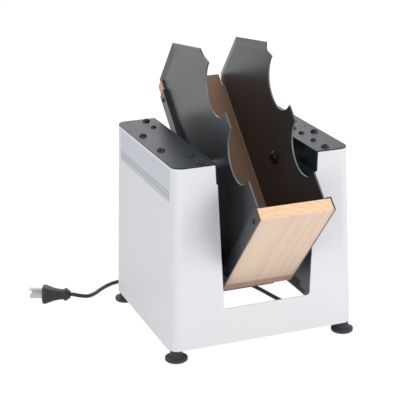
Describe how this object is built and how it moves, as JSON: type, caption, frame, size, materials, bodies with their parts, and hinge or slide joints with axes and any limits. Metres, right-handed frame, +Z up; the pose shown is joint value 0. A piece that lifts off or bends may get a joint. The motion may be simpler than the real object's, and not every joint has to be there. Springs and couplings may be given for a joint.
{
  "type": "vibrating paper jogger",
  "caption": "Desktop paper jogger: a tilted wooden bin with notched metal sides hangs between the pods of a grey sheet-metal housing and is shaken by a small motor.",
  "frame": {"origin": "on the surface it stands on, under the middle of the housing and bin taken together", "axes": "+X to the machine's right seen from its front, +Y to the rear, +Z up"},
  "size_m": [0.3766, 0.4594, 0.3749],
  "materials": {
    "shell": "satin light grey enamel",
    "cover": "satin black enamel",
    "inner_wall": "dark grey-green enamel",
    "bin_metal": "semi-gloss black enamel",
    "black_screw": "black oxide",
    "steel": "zinc plated",
    "bracket": "black enamel",
    "rubber": "matt",
    "board": "clear lacquered solid wood",
    "motor": "dark grey enamel",
    "cap": "die cast",
    "bronze": "sintered bronze",
    "control": "moulded",
    "knob": "moulded, matt",
    "cord": "soft vinyl jacket",
    "plug": "moulded vinyl",
    "blade": "nickel plated"
  },
  "bodies": {
    "housing": {"housing_shell": "shell", "left_top_plate": "cover", "right_top_plate": "cover", "left_inner_wall": "inner_wall", "right_inner_wall": "inner_wall", "left_cover_screws": "black_screw", "right_cover_screws": "black_screw", "left_rail_screws": "black_screw", "right_rail_screws": "black_screw", "left_carrier_rail": "bracket", "right_carrier_rail": "bracket", "left_rubber_bush": "rubber", "right_rubber_bush": "rubber", "left_bush_sleeve": "steel", "right_bush_sleeve": "steel", "front_left_foot": "rubber", "front_right_foot": "rubber", "back_left_foot": "rubber", "back_right_foot": "rubber", "foot_screws": "steel", "speed_control": "control", "control_nut": "steel", "cord_bracket": "steel", "cord_strain_relief": "cord", "power_cord_lead": "cord", "power_cord_coil": "cord", "power_cord_tail": "cord", "plug_body": "plug", "plug_blades": "blade"},
    "bin": {"floor_board": "board", "back_board": "board", "left_side_plate": "bin_metal", "right_side_plate": "bin_metal", "board_screws": "black_screw", "left_pivot_bolt": "black_screw", "right_pivot_bolt": "black_screw", "left_pivot_spacer": "steel", "right_pivot_spacer": "steel", "left_pivot_nut": "steel", "right_pivot_nut": "steel", "motor_bracket": "bracket", "bracket_bolts": "steel", "motor_can": "motor", "motor_end_caps": "cap", "motor_bearings": "bronze"},
    "rotor": {"motor_shaft": "steel", "eccentric_weight": "steel"},
    "knob": {"knob_spindle": "steel", "speed_knob": "knob"}
  },
  "joints": [
    {"name": "bin_rock", "type": "hinge", "parent": "housing", "child": "bin", "pos_m": [0.0046, -0.01469, 0.229], "axis": [1, 0, 0], "range_deg": [-1.5, 1.5], "stiffness_Nm_per_rad": 300},
    {"name": "motor_spin", "type": "hinge", "parent": "bin", "child": "rotor", "pos_m": [0.0046, 0.02163, 0.09612], "axis": [1, 0, 0], "continuous": true},
    {"name": "knob_turn", "type": "hinge", "parent": "housing", "child": "knob", "pos_m": [0.0945, 0.14222, 0.165], "axis": [0, 1, 0], "range_deg": [0, 300]}
  ]
}
